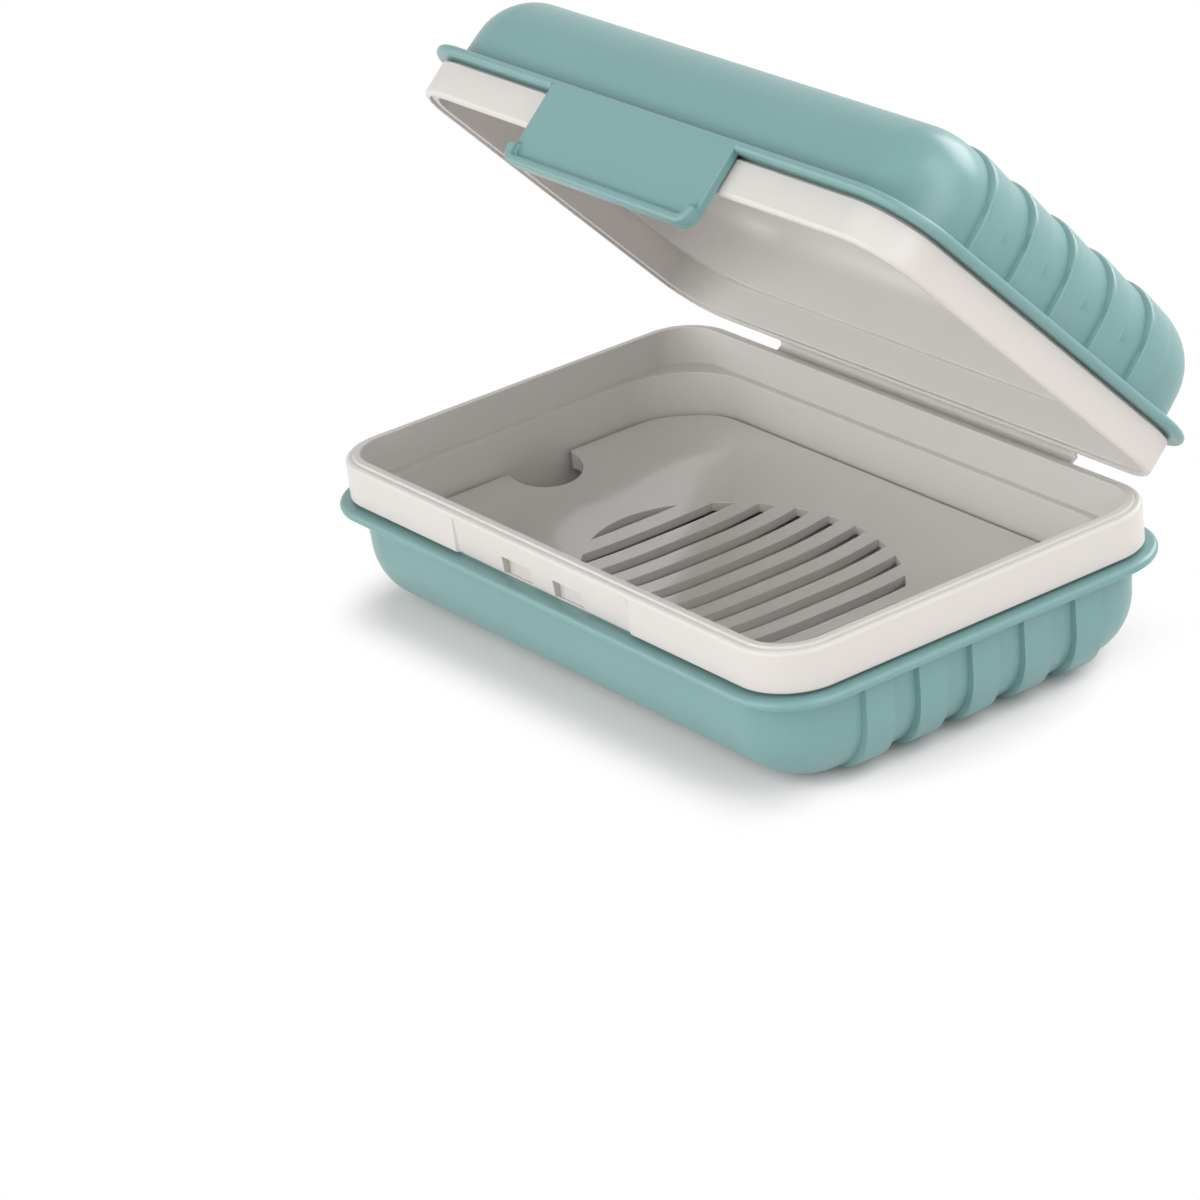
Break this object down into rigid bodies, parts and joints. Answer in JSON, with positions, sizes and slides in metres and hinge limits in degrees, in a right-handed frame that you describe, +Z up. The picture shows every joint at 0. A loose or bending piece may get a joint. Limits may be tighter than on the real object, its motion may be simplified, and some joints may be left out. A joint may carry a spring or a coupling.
{
  "type": "travel soap box",
  "caption": "Rounded travel soap box with a hinged ribbed lid, a snap flap and a lift-out slotted drain tray, standing open.",
  "frame": {"origin": "middle of the flat underside, on the surface that the box stands on", "axes": "+X along the box's length, to the right as seen from the front; -Y towards the snap flap; +Y towards the film hinge; +Z up"},
  "size_m": [0.128, 0.0927, 0.0955],
  "materials": {
    "teal_plastic": "satin moulded, teal",
    "pale_plastic": "satin moulded, pale warm grey",
    "tray_plastic": "smooth moulded, warm grey"
  },
  "bodies": {
    "base": {"base_shell": "teal_plastic", "base_liner": "pale_plastic", "hinge_film": "pale_plastic"},
    "lid": {"lid_shell": "teal_plastic", "lid_liner": "pale_plastic"},
    "latch": {"latch_flap": "teal_plastic"},
    "tray": {"drain_tray": "tray_plastic"}
  },
  "joints": [
    {"name": "lid_hinge", "type": "hinge", "parent": "base", "child": "lid", "pos_m": [0, 0.0405, 0.0264], "axis": [-1, 0, 0], "range_deg": [-47, 103], "deforming": ["hinge_film"]},
    {"name": "latch_flex", "type": "hinge", "parent": "lid", "child": "latch", "pos_m": [0, -0.00909, 0.0916], "axis": [-1, 0, 0], "range_deg": [0, 14], "stiffness_Nm_per_rad": 0.6},
    {"name": "tray_lift", "type": "slide", "parent": "base", "child": "tray", "axis": [0, 0, 1], "range_m": [0, 0.0245]}
  ]
}
